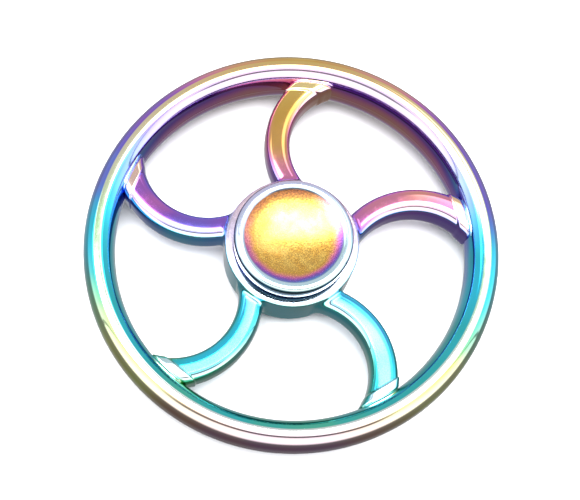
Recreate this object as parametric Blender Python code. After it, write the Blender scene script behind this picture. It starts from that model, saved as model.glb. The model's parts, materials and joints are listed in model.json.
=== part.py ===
"""Five-spoke wheel fidget spinner, built as the pieces it comes apart into.

Frame: origin at the bearing's centre, which is also the centre of the whole object.
+Z is the spin axis, out of the top finger cap. Units are metres. MM turns the millimetre
values below into metres.
"""

import math

import bmesh
import bpy
from mathutils import Matrix

MM = 0.001
TURN = 2.0 * math.pi
WELD = 1.0e-7

# Facets: every turned piece has the same number of facets at the same phase, so that
# running fits between two of them stay even all the way round.
TURNED_FACETS = 40
RIM_FACETS = 80
RIM_SECTION_POINTS = 14

# Rim: a tube of rounded section.
RIM_OUTER_RADIUS = 31.0 * MM
RIM_WIDTH = 4.7 * MM
RIM_HEIGHT = 7.2 * MM
RIM_SQUARENESS = 2.2
RIM_INNER_RADIUS = RIM_OUTER_RADIUS - RIM_WIDTH
RIM_CENTRE_RADIUS = RIM_OUTER_RADIUS - RIM_WIDTH / 2.0

# Spokes: each follows one circular arc from inside the hub to inside the rim. The arc's
# centre is given from the spin axis, for the spoke that lies nearest to +X.
SPOKE_COUNT = 5
SPOKE_ARC_RADIUS = 11.7 * MM
SPOKE_ARC_CENTRE = (18.64 * MM, -4.46 * MM)
SPOKE_START_DEG = 150.0
SPOKE_END_DEG = 49.0
SPOKE_STATIONS = 10
SPOKE_SECTION_POINTS = 10
SPOKE_WIDTH_AT_HUB = 3.6 * MM
SPOKE_WIDTH_AT_RIM = 4.2 * MM
SPOKE_HEIGHT = 4.6 * MM
SPOKE_SQUARENESS = 3.2

# Foot pads: a flat-topped block with bevelled edges where each spoke meets the inside of
# the rim. Its sides continue the spoke's own two edges, a little proud of them.
PAD_INNER_RADIUS = 25.1 * MM
PAD_OUTER_RADIUS = RIM_INNER_RADIUS + 0.9 * MM
PAD_HEIGHT = 4.84 * MM
PAD_PROUD = 0.08 * MM
PAD_EDGE_BEVEL = 0.25 * MM
PAD_SIDE_BEVEL = 0.35 * MM
PAD_SIDE_SHARE = 0.08

# Hub.
HUB_RADIUS = 9.9 * MM
HUB_HALF_HEIGHT = 3.1 * MM
HUB_EDGE_RADIUS = 0.55 * MM
HUB_EDGE_STEPS = 3

# Bearing: 6.35 x 12.7 x 4.762 mm with ten 1.5875 mm balls, outer ring held in the hub.
BEARING_BORE_RADIUS = 3.175 * MM
BEARING_OUTER_RADIUS = 6.35 * MM
BEARING_HALF_WIDTH = 2.381 * MM
BALL_COUNT = 10
BALL_RADIUS = 0.79375 * MM
BALL_SUBDIVISIONS = 2
PITCH_RADIUS = (BEARING_BORE_RADIUS + BEARING_OUTER_RADIUS) / 2.0
GROOVE_RADIUS = BALL_RADIUS + 0.052 * MM
GROOVE_STEPS = 6
OUTER_LAND_RADIUS = 5.25 * MM
INNER_LAND_RADIUS = 4.275 * MM
RACE_CHAMFER = 0.15 * MM
RACE_EDGE_CHAMFER = 0.2 * MM

# Shields, each held in a counterbore of the outer ring by a split snap ring.
SHIELD_SEAT_Z = 1.95 * MM
SHIELD_SEAT_RADIUS = 5.76 * MM
SHIELD_RADIUS = 5.71 * MM
SHIELD_BORE_RADIUS = 4.46 * MM
SHIELD_THICKNESS = 0.16 * MM
SHIELD_STEP_RADIUS = 5.1 * MM
SNAP_RING_INNER_RADIUS = 5.4 * MM
SNAP_RING_THICKNESS = 0.17 * MM
SNAP_RING_GAP_DEG = 27.0

# Ball cage: a crown ring with one open pocket per ball.
CAGE_INNER_RADIUS = 4.42 * MM
CAGE_OUTER_RADIUS = 5.1 * MM
CAGE_BASE_Z = -1.25 * MM
CAGE_TOP_Z = 0.4 * MM
POCKET_RADIUS = 0.9 * MM
POCKET_SIDES = 14

# Seat for the bearing in the hub, open at the top, with a shoulder at the bottom.
SEAT_CLEARANCE = 0.04 * MM
SHOULDER_RADIUS = 5.9 * MM

# Finger caps. Heights are distances from the middle plane of the bearing.
CAP_RADIUS = 8.7 * MM
CAP_TOP_Z = 5.8 * MM
CAP_UNDERSIDE_Z = 3.5 * MM
CAP_LIP_RADIUS = 0.7 * MM
CAP_LIP_STEPS = 3
CAP_LOWER_CHAMFER = 0.25 * MM
LAND_INNER_RADIUS = 7.5 * MM
DISH_RADIUS = 7.2 * MM
DISH_EDGE_Z = 5.62 * MM
DISH_DEPTH = 1.4 * MM
DISH_STEPS = 5
BOSS_RADIUS = 4.1 * MM
BOSS_GAP = 0.03 * MM
STEM_RADIUS = BEARING_BORE_RADIUS - 0.04 * MM
STEM_END_Z = 0.2 * MM
STEM_CHAMFER = 0.15 * MM
THREAD_HOLE_RADIUS = 1.75 * MM
THREAD_HOLE_TOP_Z = 3.0 * MM
THREAD_HOLE_TIP_Z = 3.5 * MM
STUD_RADIUS = 1.7 * MM
STUD_END_Z = 2.8 * MM
STUD_CHAMFER = 0.2 * MM

FIT_GAP = 0.04 * MM
SMOOTH_ANGLE = math.radians(35.0)


def clear_scene():
    for obj in list(bpy.data.objects):
        bpy.data.objects.remove(obj, do_unlink=True)


def material(name, colour, roughness, metallic):
    mat = bpy.data.materials.new(name)
    mat.use_nodes = True
    shader = mat.node_tree.nodes["Principled BSDF"]
    shader.inputs["Base Color"].default_value = (*colour, 1.0)
    shader.inputs["Roughness"].default_value = roughness
    shader.inputs["Metallic"].default_value = metallic
    mat.diffuse_color = (*colour, 1.0)
    return mat


def object_from(bm, name, mat):
    """Finish a bmesh as one smooth-shaded object with outward faces."""
    bmesh.ops.recalc_face_normals(bm, faces=bm.faces)
    mesh = bpy.data.meshes.new(name)
    bm.to_mesh(mesh)
    bm.free()
    mesh.shade_smooth()
    mesh.set_sharp_from_angle(angle=SMOOTH_ANGLE)
    if mat is not None:
        mesh.materials.append(mat)
    obj = bpy.data.objects.new(name, mesh)
    bpy.context.scene.collection.objects.link(obj)
    return obj


def form(bm, name):
    """A shape that only takes part in a Boolean and is not a piece of the object."""
    obj = object_from(bm, name, None)
    obj.hide_render = True
    obj.display_type = "WIRE"
    obj.hide_set(True)
    return obj


def arc(centre, radius, start_deg, end_deg, steps):
    """Points of a circular arc, both ends included."""
    points = []
    for i in range(steps + 1):
        a = math.radians(start_deg + (end_deg - start_deg) * i / steps)
        points.append((centre[0] + radius * math.cos(a), centre[1] + radius * math.sin(a)))
    return points


def rounded_section(width, height, squareness, count):
    """Points of a superellipse: an oval that is a little squarer than an ellipse."""
    points = []
    for i in range(count):
        a = TURN * i / count
        c = math.cos(a)
        s = math.sin(a)
        x = math.copysign(abs(c) ** (2.0 / squareness), c) * width / 2.0
        y = math.copysign(abs(s) ** (2.0 / squareness), s) * height / 2.0
        points.append((x, y))
    return points


def turned(profile, facets):
    """A solid of revolution about Z from a profile of (radius, height) points.

    The profile is a closed outline, or an open one whose two ends are on the axis.
    """
    bm = bmesh.new()
    verts = [bm.verts.new((r, 0.0, z)) for r, z in profile]
    edges = [bm.edges.new(pair) for pair in zip(verts, verts[1:])]
    on_axis = profile[0][0] == 0.0 and profile[-1][0] == 0.0
    if not on_axis:
        edges.append(bm.edges.new((verts[-1], verts[0])))
    bmesh.ops.spin(
        bm,
        geom=verts + edges,
        cent=(0.0, 0.0, 0.0),
        axis=(0.0, 0.0, 1.0),
        angle=TURN,
        steps=facets,
        use_merge=True,
    )
    bmesh.ops.remove_doubles(bm, verts=bm.verts, dist=WELD)
    return bm


def swept(sections):
    """A capped solid through equal-sized loops of points."""
    bm = bmesh.new()
    loops = [[bm.verts.new(p) for p in section] for section in sections]
    count = len(loops[0])
    for lower, upper in zip(loops, loops[1:]):
        for i in range(count):
            j = (i + 1) % count
            bm.faces.new((lower[i], lower[j], upper[j], upper[i]))
    bm.faces.new(loops[0])
    bm.faces.new(loops[-1])
    return bm


def boolean(obj, operation, cutter):
    mod = obj.modifiers.new(operation.lower() + "_" + cutter.name, "BOOLEAN")
    mod.operation = operation
    mod.solver = "EXACT"
    mod.object = cutter


# ---------------------------------------------------------------- wheel


def rim_blank():
    section = rounded_section(RIM_WIDTH, RIM_HEIGHT, RIM_SQUARENESS, RIM_SECTION_POINTS)
    profile = [(RIM_CENTRE_RADIUS + x, z) for x, z in section]
    return turned(profile, RIM_FACETS)


def hub_blank():
    corner = HUB_RADIUS - HUB_EDGE_RADIUS
    level = HUB_HALF_HEIGHT - HUB_EDGE_RADIUS
    profile = [(0.0, -HUB_HALF_HEIGHT)]
    profile += arc((corner, -level), HUB_EDGE_RADIUS, -90.0, 0.0, HUB_EDGE_STEPS)
    profile += arc((corner, level), HUB_EDGE_RADIUS, 0.0, 90.0, HUB_EDGE_STEPS)
    profile += [(0.0, HUB_HALF_HEIGHT)]
    return turned(profile, TURNED_FACETS)


def spoke_blank():
    """One spoke, swept along its arc. Its width grows from the hub to the rim."""
    sections = []
    for i in range(SPOKE_STATIONS + 1):
        along = i / SPOKE_STATIONS
        a = math.radians(SPOKE_START_DEG + (SPOKE_END_DEG - SPOKE_START_DEG) * along)
        width = SPOKE_WIDTH_AT_HUB + (SPOKE_WIDTH_AT_RIM - SPOKE_WIDTH_AT_HUB) * along
        outline = rounded_section(width, SPOKE_HEIGHT, SPOKE_SQUARENESS, SPOKE_SECTION_POINTS)
        section = []
        for x, z in outline:
            r = SPOKE_ARC_RADIUS + x
            section.append(
                (
                    SPOKE_ARC_CENTRE[0] + r * math.cos(a),
                    SPOKE_ARC_CENTRE[1] + r * math.sin(a),
                    z,
                )
            )
        sections.append(section)
    return swept(sections)


def spoke_edge_angle(radius, offset):
    """Where the line at that offset from a spoke's centre line crosses a radius of the wheel.

    The offset is positive on the spoke's outer, convex side. The result is an angle about
    the spin axis.
    """
    cx, cy = SPOKE_ARC_CENTRE
    distance = math.hypot(cx, cy)
    rho = SPOKE_ARC_RADIUS + offset
    cosine = (radius**2 - distance**2 - rho**2) / (2.0 * rho * distance)
    a = math.atan2(cy, cx) + math.acos(cosine)
    return math.atan2(cy + rho * math.sin(a), cx + rho * math.cos(a))


def pad_blank():
    """The flat-topped block between a spoke's end and the rim's inner wall."""
    half_width = SPOKE_WIDTH_AT_RIM / 2.0 + PAD_PROUD
    half_height = PAD_HEIGHT / 2.0
    stations = [
        (PAD_INNER_RADIUS, half_height - PAD_EDGE_BEVEL),
        (PAD_INNER_RADIUS + PAD_EDGE_BEVEL, half_height),
        (RIM_INNER_RADIUS, half_height),
        (PAD_OUTER_RADIUS, half_height),
    ]
    across = [
        (0.0, PAD_SIDE_BEVEL),
        (PAD_SIDE_SHARE, 0.0),
        (1.0 - PAD_SIDE_SHARE, 0.0),
        (1.0, PAD_SIDE_BEVEL),
    ]
    sections = []
    for radius, half in stations:
        low = spoke_edge_angle(radius, -half_width)
        high = spoke_edge_angle(radius, half_width)
        upper = []
        for share, drop in across:
            a = low + (high - low) * share
            upper.append((radius * math.cos(a), radius * math.sin(a), half - drop))
        lower = [(x, y, -z) for x, y, z in reversed(upper)]
        sections.append(upper + lower)
    return swept(sections)


def bearing_seat():
    """The hole through the hub: the bearing's seat, then a narrower hole below it."""
    radius = BEARING_OUTER_RADIUS + SEAT_CLEARANCE
    floor = -BEARING_HALF_WIDTH - FIT_GAP
    beyond = HUB_HALF_HEIGHT + 1.0 * MM
    profile = [
        (0.0, -beyond),
        (SHOULDER_RADIUS, -beyond),
        (SHOULDER_RADIUS, floor),
        (radius, floor),
        (radius, beyond),
        (0.0, beyond),
    ]
    return turned(profile, TURNED_FACETS)


def make_wheel(mat):
    wheel = object_from(rim_blank(), "wheel", mat)
    boolean(wheel, "UNION", form(hub_blank(), "hub_form"))
    for k in range(SPOKE_COUNT):
        turn = Matrix.Rotation(TURN * k / SPOKE_COUNT, 4, "Z")
        for maker, label in ((spoke_blank, "spoke_form_"), (pad_blank, "pad_form_")):
            blank = form(maker(), label + str(k + 1))
            blank.matrix_world = turn
            boolean(wheel, "UNION", blank)
    boolean(wheel, "DIFFERENCE", form(bearing_seat(), "bearing_seat_cutter"))
    return wheel


# ---------------------------------------------------------------- bearing


def groove(outer):
    """The ball groove of one race, from low to high, as (radius, height) points."""
    land = OUTER_LAND_RADIUS if outer else INNER_LAND_RADIUS
    reach = math.degrees(math.acos(abs(land - PITCH_RADIUS) / GROOVE_RADIUS))
    centre = (PITCH_RADIUS, 0.0)
    if outer:
        return arc(centre, GROOVE_RADIUS, -reach, reach, GROOVE_STEPS)
    return arc(centre, GROOVE_RADIUS, 180.0 + reach, 180.0 - reach, GROOVE_STEPS)


def make_outer_race(mat):
    half = BEARING_HALF_WIDTH
    outside = BEARING_OUTER_RADIUS
    profile = [
        (outside, -half + RACE_CHAMFER),
        (outside, half - RACE_CHAMFER),
        (outside - RACE_CHAMFER, half),
        (SHIELD_SEAT_RADIUS, half),
        (SHIELD_SEAT_RADIUS, SHIELD_SEAT_Z),
        (OUTER_LAND_RADIUS, SHIELD_SEAT_Z),
    ]
    profile += reversed(groove(outer=True))
    profile += [
        (OUTER_LAND_RADIUS, -SHIELD_SEAT_Z),
        (SHIELD_SEAT_RADIUS, -SHIELD_SEAT_Z),
        (SHIELD_SEAT_RADIUS, -half),
        (outside - RACE_CHAMFER, -half),
    ]
    return object_from(turned(profile, TURNED_FACETS), "bearing_outer_race", mat)


def make_inner_race(mat):
    half = BEARING_HALF_WIDTH
    bore = BEARING_BORE_RADIUS
    land = INNER_LAND_RADIUS
    profile = [(bore + RACE_EDGE_CHAMFER, -half), (land, -half)]
    profile += groove(outer=False)
    profile += [
        (land, half),
        (bore + RACE_EDGE_CHAMFER, half),
        (bore, half - RACE_EDGE_CHAMFER),
        (bore, -half + RACE_EDGE_CHAMFER),
    ]
    return object_from(turned(profile, TURNED_FACETS), "bearing_inner_race", mat)


def ball_angle(index):
    return TURN * (index + 0.5) / BALL_COUNT


def make_balls(mat):
    """Ten balls on the pitch circle, each with its origin at its own centre."""
    bm = bmesh.new()
    bmesh.ops.create_icosphere(bm, subdivisions=BALL_SUBDIVISIONS, radius=BALL_RADIUS)
    first = object_from(bm, "ball_01", mat)
    first.data.shade_smooth()
    balls = [first]
    for i in range(1, BALL_COUNT):
        ball = bpy.data.objects.new("ball_%02d" % (i + 1), first.data)
        bpy.context.scene.collection.objects.link(ball)
        balls.append(ball)
    for i, ball in enumerate(balls):
        a = ball_angle(i)
        ball.location = (PITCH_RADIUS * math.cos(a), PITCH_RADIUS * math.sin(a), 0.0)
        ball.rotation_euler = (0.0, 0.0, a)
    return balls


def pocket_cutter():
    """A cylinder on a radial axis, wide enough for a ball, at the height of the balls."""
    bm = bmesh.new()
    length = 3.0 * (CAGE_OUTER_RADIUS - CAGE_INNER_RADIUS)
    lie_along_x = Matrix.Rotation(math.radians(90.0), 4, "Y")
    bmesh.ops.create_cone(
        bm,
        cap_ends=True,
        segments=POCKET_SIDES,
        radius1=POCKET_RADIUS,
        radius2=POCKET_RADIUS,
        depth=length,
        matrix=Matrix.Translation((PITCH_RADIUS, 0.0, 0.0)) @ lie_along_x,
    )
    return bm


def make_cage(mat):
    profile = [
        (CAGE_INNER_RADIUS, CAGE_BASE_Z),
        (CAGE_OUTER_RADIUS, CAGE_BASE_Z),
        (CAGE_OUTER_RADIUS, CAGE_TOP_Z),
        (CAGE_INNER_RADIUS, CAGE_TOP_Z),
    ]
    cage = object_from(turned(profile, TURNED_FACETS), "ball_cage", mat)
    for i in range(BALL_COUNT):
        cutter = form(pocket_cutter(), "pocket_cutter_" + str(i + 1))
        cutter.rotation_euler = (0.0, 0.0, ball_angle(i))
        boolean(cage, "DIFFERENCE", cutter)
    return cage


def flipped(profile):
    """The same profile on the other side of the middle plane."""
    return [(r, -z) for r, z in reversed(profile)]


def make_shields(mat):
    """Two pressed steel discs that close the gap between the races."""
    low = SHIELD_SEAT_Z + FIT_GAP
    high = low + SHIELD_THICKNESS
    sink = SHIELD_THICKNESS / 2.0
    profile = [
        (SHIELD_BORE_RADIUS, low - sink),
        (SHIELD_STEP_RADIUS - sink, low - sink),
        (SHIELD_STEP_RADIUS, low),
        (SHIELD_RADIUS, low),
        (SHIELD_RADIUS, high),
        (SHIELD_STEP_RADIUS - sink, high),
        (SHIELD_STEP_RADIUS - 2.0 * sink, high - sink),
        (SHIELD_BORE_RADIUS, high - sink),
    ]
    object_from(turned(profile, TURNED_FACETS), "shield_top", mat)
    object_from(turned(flipped(profile), TURNED_FACETS), "shield_bottom", mat)


def snap_ring(side):
    """A split ring of flat wire. side is +1 for the top one and -1 for the bottom one."""
    low = SHIELD_SEAT_Z + 2.0 * FIT_GAP + SHIELD_THICKNESS
    corners = [
        (SNAP_RING_INNER_RADIUS, low),
        (SHIELD_RADIUS, low),
        (SHIELD_RADIUS, low + SNAP_RING_THICKNESS),
        (SNAP_RING_INNER_RADIUS, low + SNAP_RING_THICKNESS),
    ]
    step = TURN / TURNED_FACETS
    gap_steps = round(math.radians(SNAP_RING_GAP_DEG) / step)
    sections = []
    for i in range(TURNED_FACETS - gap_steps + 1):
        a = step * (i + gap_steps / 2.0)
        sections.append([(r * math.cos(a), r * math.sin(a), side * z) for r, z in corners])
    return swept(sections)


def make_snap_rings(mat):
    object_from(snap_ring(1.0), "shield_snap_ring_top", mat)
    object_from(snap_ring(-1.0), "shield_snap_ring_bottom", mat)


# ---------------------------------------------------------------- finger caps


def cap_outline():
    """The cap's outline from the dish's middle, over the lip, to the stem's shoulder."""
    dish_low = DISH_EDGE_Z - DISH_DEPTH
    sphere_radius = (DISH_RADIUS**2 + DISH_DEPTH**2) / (2.0 * DISH_DEPTH)
    outline = []
    for i in range(DISH_STEPS + 1):
        r = DISH_RADIUS * i / DISH_STEPS
        z = dish_low + sphere_radius - math.sqrt(sphere_radius**2 - r**2)
        outline.append((r, z))
    outline.append((LAND_INNER_RADIUS, CAP_TOP_Z))
    lip_centre = (CAP_RADIUS - CAP_LIP_RADIUS, CAP_TOP_Z - CAP_LIP_RADIUS)
    outline += arc(lip_centre, CAP_LIP_RADIUS, 90.0, 0.0, CAP_LIP_STEPS)
    outline += [
        (CAP_RADIUS, CAP_UNDERSIDE_Z + CAP_LOWER_CHAMFER),
        (CAP_RADIUS - CAP_LOWER_CHAMFER, CAP_UNDERSIDE_Z),
        (BOSS_RADIUS, CAP_UNDERSIDE_Z),
        (BOSS_RADIUS, BEARING_HALF_WIDTH + BOSS_GAP),
        (STEM_RADIUS, BEARING_HALF_WIDTH + BOSS_GAP),
        (STEM_RADIUS, STEM_END_Z + STEM_CHAMFER),
        (STEM_RADIUS - STEM_CHAMFER, STEM_END_Z),
    ]
    return outline


def make_top_cap(mat):
    """The cap with the threaded hole in its stem. The thread is a plain hole here."""
    profile = cap_outline()
    profile += [
        (THREAD_HOLE_RADIUS, STEM_END_Z),
        (THREAD_HOLE_RADIUS, THREAD_HOLE_TOP_Z),
        (0.0, THREAD_HOLE_TIP_Z),
    ]
    return object_from(turned(profile, TURNED_FACETS), "finger_cap_top", mat)


def make_bottom_cap(mat):
    """The cap with the threaded stud, upside down. The thread is a plain stud here."""
    profile = [(r, -z) for r, z in cap_outline()]
    profile += [
        (STUD_RADIUS, -STEM_END_Z),
        (STUD_RADIUS, STUD_END_Z - STUD_CHAMFER),
        (STUD_RADIUS - STUD_CHAMFER, STUD_END_Z),
        (0.0, STUD_END_Z),
    ]
    return object_from(turned(profile, TURNED_FACETS), "finger_cap_bottom", mat)


def build():
    clear_scene()
    rainbow = material("rainbow_coating", (0.45, 0.38, 0.62), 0.12, 1.0)
    cap_finish = material("cap_coating", (0.86, 0.66, 0.30), 0.28, 1.0)
    steel = material("bearing_steel", (0.62, 0.62, 0.63), 0.22, 1.0)
    ball_steel = material("ball_steel", (0.74, 0.74, 0.75), 0.06, 1.0)
    sheet = material("shield_steel", (0.55, 0.56, 0.57), 0.32, 1.0)
    spring = material("spring_steel", (0.40, 0.41, 0.43), 0.35, 1.0)
    crown = material("cage_brass", (0.66, 0.52, 0.26), 0.38, 1.0)
    make_wheel(rainbow)
    make_outer_race(steel)
    make_inner_race(steel)
    make_balls(ball_steel)
    make_cage(crown)
    make_shields(sheet)
    make_snap_rings(spring)
    make_top_cap(cap_finish)
    make_bottom_cap(cap_finish)


build()
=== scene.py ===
"""Looks of the five-spoke wheel fidget spinner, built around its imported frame.

Shapes are worked out in millimetres and scaled to metres when a mesh is made.
"""

import json
import math

import bmesh
import bpy
import numpy as np
from mathutils import Matrix, Vector

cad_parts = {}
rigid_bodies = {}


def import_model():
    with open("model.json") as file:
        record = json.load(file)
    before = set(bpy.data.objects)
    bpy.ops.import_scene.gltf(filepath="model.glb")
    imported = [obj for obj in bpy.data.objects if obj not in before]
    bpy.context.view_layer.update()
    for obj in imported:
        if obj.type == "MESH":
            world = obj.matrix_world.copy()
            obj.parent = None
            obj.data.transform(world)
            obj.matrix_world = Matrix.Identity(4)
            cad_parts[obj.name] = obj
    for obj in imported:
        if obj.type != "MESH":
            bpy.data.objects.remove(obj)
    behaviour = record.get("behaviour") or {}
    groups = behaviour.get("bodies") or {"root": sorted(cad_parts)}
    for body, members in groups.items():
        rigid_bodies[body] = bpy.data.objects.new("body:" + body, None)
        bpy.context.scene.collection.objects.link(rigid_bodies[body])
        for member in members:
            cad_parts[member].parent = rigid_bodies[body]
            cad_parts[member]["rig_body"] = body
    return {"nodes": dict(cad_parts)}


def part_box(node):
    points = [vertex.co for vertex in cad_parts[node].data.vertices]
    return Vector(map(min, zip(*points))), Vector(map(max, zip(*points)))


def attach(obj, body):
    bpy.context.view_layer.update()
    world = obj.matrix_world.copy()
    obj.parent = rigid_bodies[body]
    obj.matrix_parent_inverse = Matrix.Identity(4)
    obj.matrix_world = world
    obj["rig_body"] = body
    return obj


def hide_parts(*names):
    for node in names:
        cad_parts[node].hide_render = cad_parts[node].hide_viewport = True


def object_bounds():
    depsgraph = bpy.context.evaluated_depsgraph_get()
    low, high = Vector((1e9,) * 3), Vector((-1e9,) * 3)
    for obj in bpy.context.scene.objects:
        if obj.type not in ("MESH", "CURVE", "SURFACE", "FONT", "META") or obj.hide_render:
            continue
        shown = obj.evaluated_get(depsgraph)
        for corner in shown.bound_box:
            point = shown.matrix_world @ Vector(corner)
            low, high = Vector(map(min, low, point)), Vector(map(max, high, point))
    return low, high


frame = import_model()
CAD_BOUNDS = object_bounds()

MM = 0.001
TURN = 2.0 * math.pi


def top_mm(node):
    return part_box(node)[1].z / MM


def reach_mm(node):
    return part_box(node)[1].x / MM


# ---------------------------------------------------------------- sizes, in millimetres

RIM_RADIUS = reach_mm("wheel")
RIM_HALF_HEIGHT = top_mm("wheel")
RIM_HALF_WIDTH = 2.35
RIM_SQUARENESS = 2.2
RIM_CENTRE = RIM_RADIUS - RIM_HALF_WIDTH
RIM_INNER = RIM_CENTRE - RIM_HALF_WIDTH
RIM_SEGMENTS = 360
SEAM_HEIGHT = 0.03
SEAM_WIDTH = 0.10
SEAM_POINTS = (0.04, 0.08, 0.12, 0.17, 0.24)

# Spokes follow one arc each. Its centre is given for the spoke nearest to +X, whose sector
# is centred on SECTOR_MIDDLE_DEG.
SPOKES = 5
SECTOR_MIDDLE_DEG = 17.0
ARC_RADIUS = 11.7
ARC_CENTRE = (18.64, -4.46)
ARC_HUB_DEG = 150.0
ARC_RIM_DEG = 45.0
SPOKE_WIDTHS = (3.6, 4.2)
SPOKE_HALF_HEIGHT = 2.3
SPOKE_SQUARENESS = 3.2

# Foot pads. PAD_LAST_DEG is where a pad ends along the spoke's arc, inside the rim.
PAD_INNER = 25.1
PAD_OUTER = RIM_INNER + 1.2
PAD_LAST_DEG = 12.0
PAD_HALF_HEIGHT = 2.42
PAD_HALF_WIDTH = 2.18
PAD_SQUARENESS = 4.0
PAD_ROUNDING = 0.25
PAD_FILLET = 0.2
PAD_GROOVE_RADIUS = 26.45
PAD_GROOVE_DEPTH = 0.2
PAD_GROOVE_WIDTH = 0.13
FINE_FROM = PAD_INNER - 0.5
FINE_TO = PAD_OUTER - 0.1

HUB_RADIUS = 9.9
HUB_HALF_HEIGHT = 3.1
HUB_EDGE = 0.4
HUB_FILLET = 0.9
SEAT_RADIUS = 6.39
SEAT_GAP = 0.04
SHOULDER_RADIUS = 5.9

BEARING_HALF = top_mm("bearing_outer_race")
BORE_RADIUS = 3.175
OUTER_RADIUS = 6.35
BALLS = 10
BALL_RADIUS = top_mm("ball_01")
PITCH_RADIUS = (BORE_RADIUS + OUTER_RADIUS) / 2.0
GROOVE_RADIUS = BALL_RADIUS + 0.045
OUTER_LAND = 5.25
INNER_LAND = 4.275
COUNTERBORE_RADIUS = 5.76
COUNTERBORE_FLOOR = 1.95

CAGE_INNER = 4.42
CAGE_OUTER = 5.1
CAGE_LOW = -1.25
CAGE_HIGH = 0.4
POCKET_RADIUS = 0.9

# Shields are thin sheet with one step. Their inner part is set a little deeper.
SHIELD_BORE = 4.46
SHIELD_STEP = 5.1
SHIELD_RADIUS = 5.71
SHIELD_SHEET = 0.16
SHIELD_LOW = 1.91
SHIELD_RISE = 0.08
SHIELD_ROUNDING = 0.05
SNAP_RING_BORE = 5.4
SNAP_RING_LOW = 2.19
SNAP_RING_SHEET = 0.17
SNAP_RING_GAP_DEG = 27.0

CAP_RADIUS = reach_mm("finger_cap_top")
CAP_TOP = top_mm("finger_cap_top")
CAP_UNDERSIDE = 3.5
CAP_LOWER_ROUNDING = (0.25, 0.08)
CAP_SEGMENTS = 224
LIP_ROUNDING = 0.7
LIP_TOP_RADIUS = 7.85
LIP_SLOPE_ROUNDING = 1.26
DISH_RADIUS = 7.2
DISH_EDGE = 5.62
DISH_DEPTH = 1.4
BOSS_RADIUS = 4.1
BOSS_GAP = 0.03
STEM_RADIUS = BORE_RADIUS - 0.04
STEM_END = 0.2
STEM_CHAMFER = 0.15
HOLE_RADIUS = 1.75
HOLE_TOP = 3.0
HOLE_TIP = 3.5
STUD_RADIUS = 1.7
STUD_TOP = 2.8
STUD_CHAMFER = 0.2

# Mesh work: the remesh's grid, and limits for moving points onto a surface.
VOXEL = 0.24
LEAST_STEEPNESS = 0.05
LONGEST_MOVE = 0.3
NEAR_ZERO = 1e-9
SHARP_DEG = 32.0


# ---------------------------------------------------------------- mesh helpers


def link(name, mesh):
    obj = bpy.data.objects.new(name, mesh)
    bpy.context.scene.collection.objects.link(obj)
    return obj


def arc(centre, radius, start_deg, end_deg, steps):
    angles = np.radians(np.linspace(start_deg, end_deg, steps + 1))
    return [(centre[0] + radius * math.cos(a), centre[1] + radius * math.sin(a)) for a in angles]


def rounded(corners, steps=4):
    """A closed outline of (radius, height, corner radius) with its corners rounded."""
    points = []
    count = len(corners)
    for i, (x, y, size) in enumerate(corners):
        here = Vector((x, y))
        if size <= 0.0:
            points.append((x, y))
            continue
        before = Vector(corners[i - 1][:2]) - here
        after = Vector(corners[(i + 1) % count][:2]) - here
        half = before.angle(after) / 2.0
        setback = size / math.tan(half)
        start = here + before.normalized() * setback
        end = here + after.normalized() * setback
        inward = (before.normalized() + after.normalized()).normalized()
        middle = here + inward * (size / math.sin(half))
        a0 = math.atan2(start.y - middle.y, start.x - middle.x)
        a1 = math.atan2(end.y - middle.y, end.x - middle.x)
        sweep = (a1 - a0 + math.pi) % TURN - math.pi
        for k in range(steps + 1):
            a = a0 + sweep * k / steps
            points.append((middle.x + size * math.cos(a), middle.y + size * math.sin(a)))
    return points


def turned(name, profile, segments=160):
    """A turned piece from an outline of (radius, height). Points on the axis become one."""
    profile = [p for i, p in enumerate(profile) if i == 0 or math.dist(p, profile[i - 1]) > 1e-6]
    bm = bmesh.new()
    verts = [bm.verts.new((r * MM, 0.0, z * MM)) for r, z in profile]
    edges = [bm.edges.new(pair) for pair in zip(verts, verts[1:])]
    if max(profile[0][0], profile[-1][0]) > NEAR_ZERO:
        edges.append(bm.edges.new((verts[-1], verts[0])))
    bmesh.ops.spin(
        bm,
        geom=verts + edges,
        axis=(0, 0, 1),
        cent=(0, 0, 0),
        angle=TURN,
        steps=segments,
        use_merge=True,
    )
    bmesh.ops.remove_doubles(bm, verts=bm.verts, dist=1e-7)
    return finished(name, bm)


def finished(name, bm, sharp_deg=SHARP_DEG):
    """Close work on a mesh: normals out, smooth shading with sharp edges, linked."""
    bmesh.ops.recalc_face_normals(bm, faces=bm.faces)
    mesh = bpy.data.meshes.new(name)
    bm.to_mesh(mesh)
    bm.free()
    mesh.shade_smooth()
    mesh.set_sharp_from_angle(angle=math.radians(sharp_deg))
    return link(name, mesh)


def tube(bm, loops):
    """Add a capped solid through equal-sized loops of points."""
    rings = [[bm.verts.new(Vector(p) * MM) for p in loop] for loop in loops]
    count = len(rings[0])
    for one, two in zip(rings, rings[1:]):
        for k in range(count):
            m = (k + 1) % count
            bm.faces.new((one[k], one[m], two[m], two[k]))
    bm.faces.new(rings[0])
    bm.faces.new(rings[-1])


def applied(obj):
    """Replace the object's mesh by its evaluated one and drop its modifiers."""
    graph = bpy.context.evaluated_depsgraph_get()
    mesh = bpy.data.meshes.new_from_object(obj.evaluated_get(graph))
    obj.modifiers.clear()
    obj.data = mesh
    return obj


# ---------------------------------------------------------------- the wheel's surface


def oval(u, z, a, b, n):
    """Signed distance, to first order, from an oval of half sizes a and b."""
    pu = np.abs(u / a) + NEAR_ZERO
    pz = np.abs(z / b) + NEAR_ZERO
    k = (pu**n + pz**n) ** (1.0 / n)
    gu = k ** (1.0 - n) * pu ** (n - 1.0) / a
    gz = k ** (1.0 - n) * pz ** (n - 1.0) / b
    return (k - 1.0) / np.sqrt(gu * gu + gz * gz)


def join(a, b, size):
    """Union of two distances with a fillet of about that size."""
    h = np.clip(0.5 + 0.5 * (b - a) / size, 0.0, 1.0)
    return b + (a - b) * h - size * h * (1.0 - h)


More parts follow.
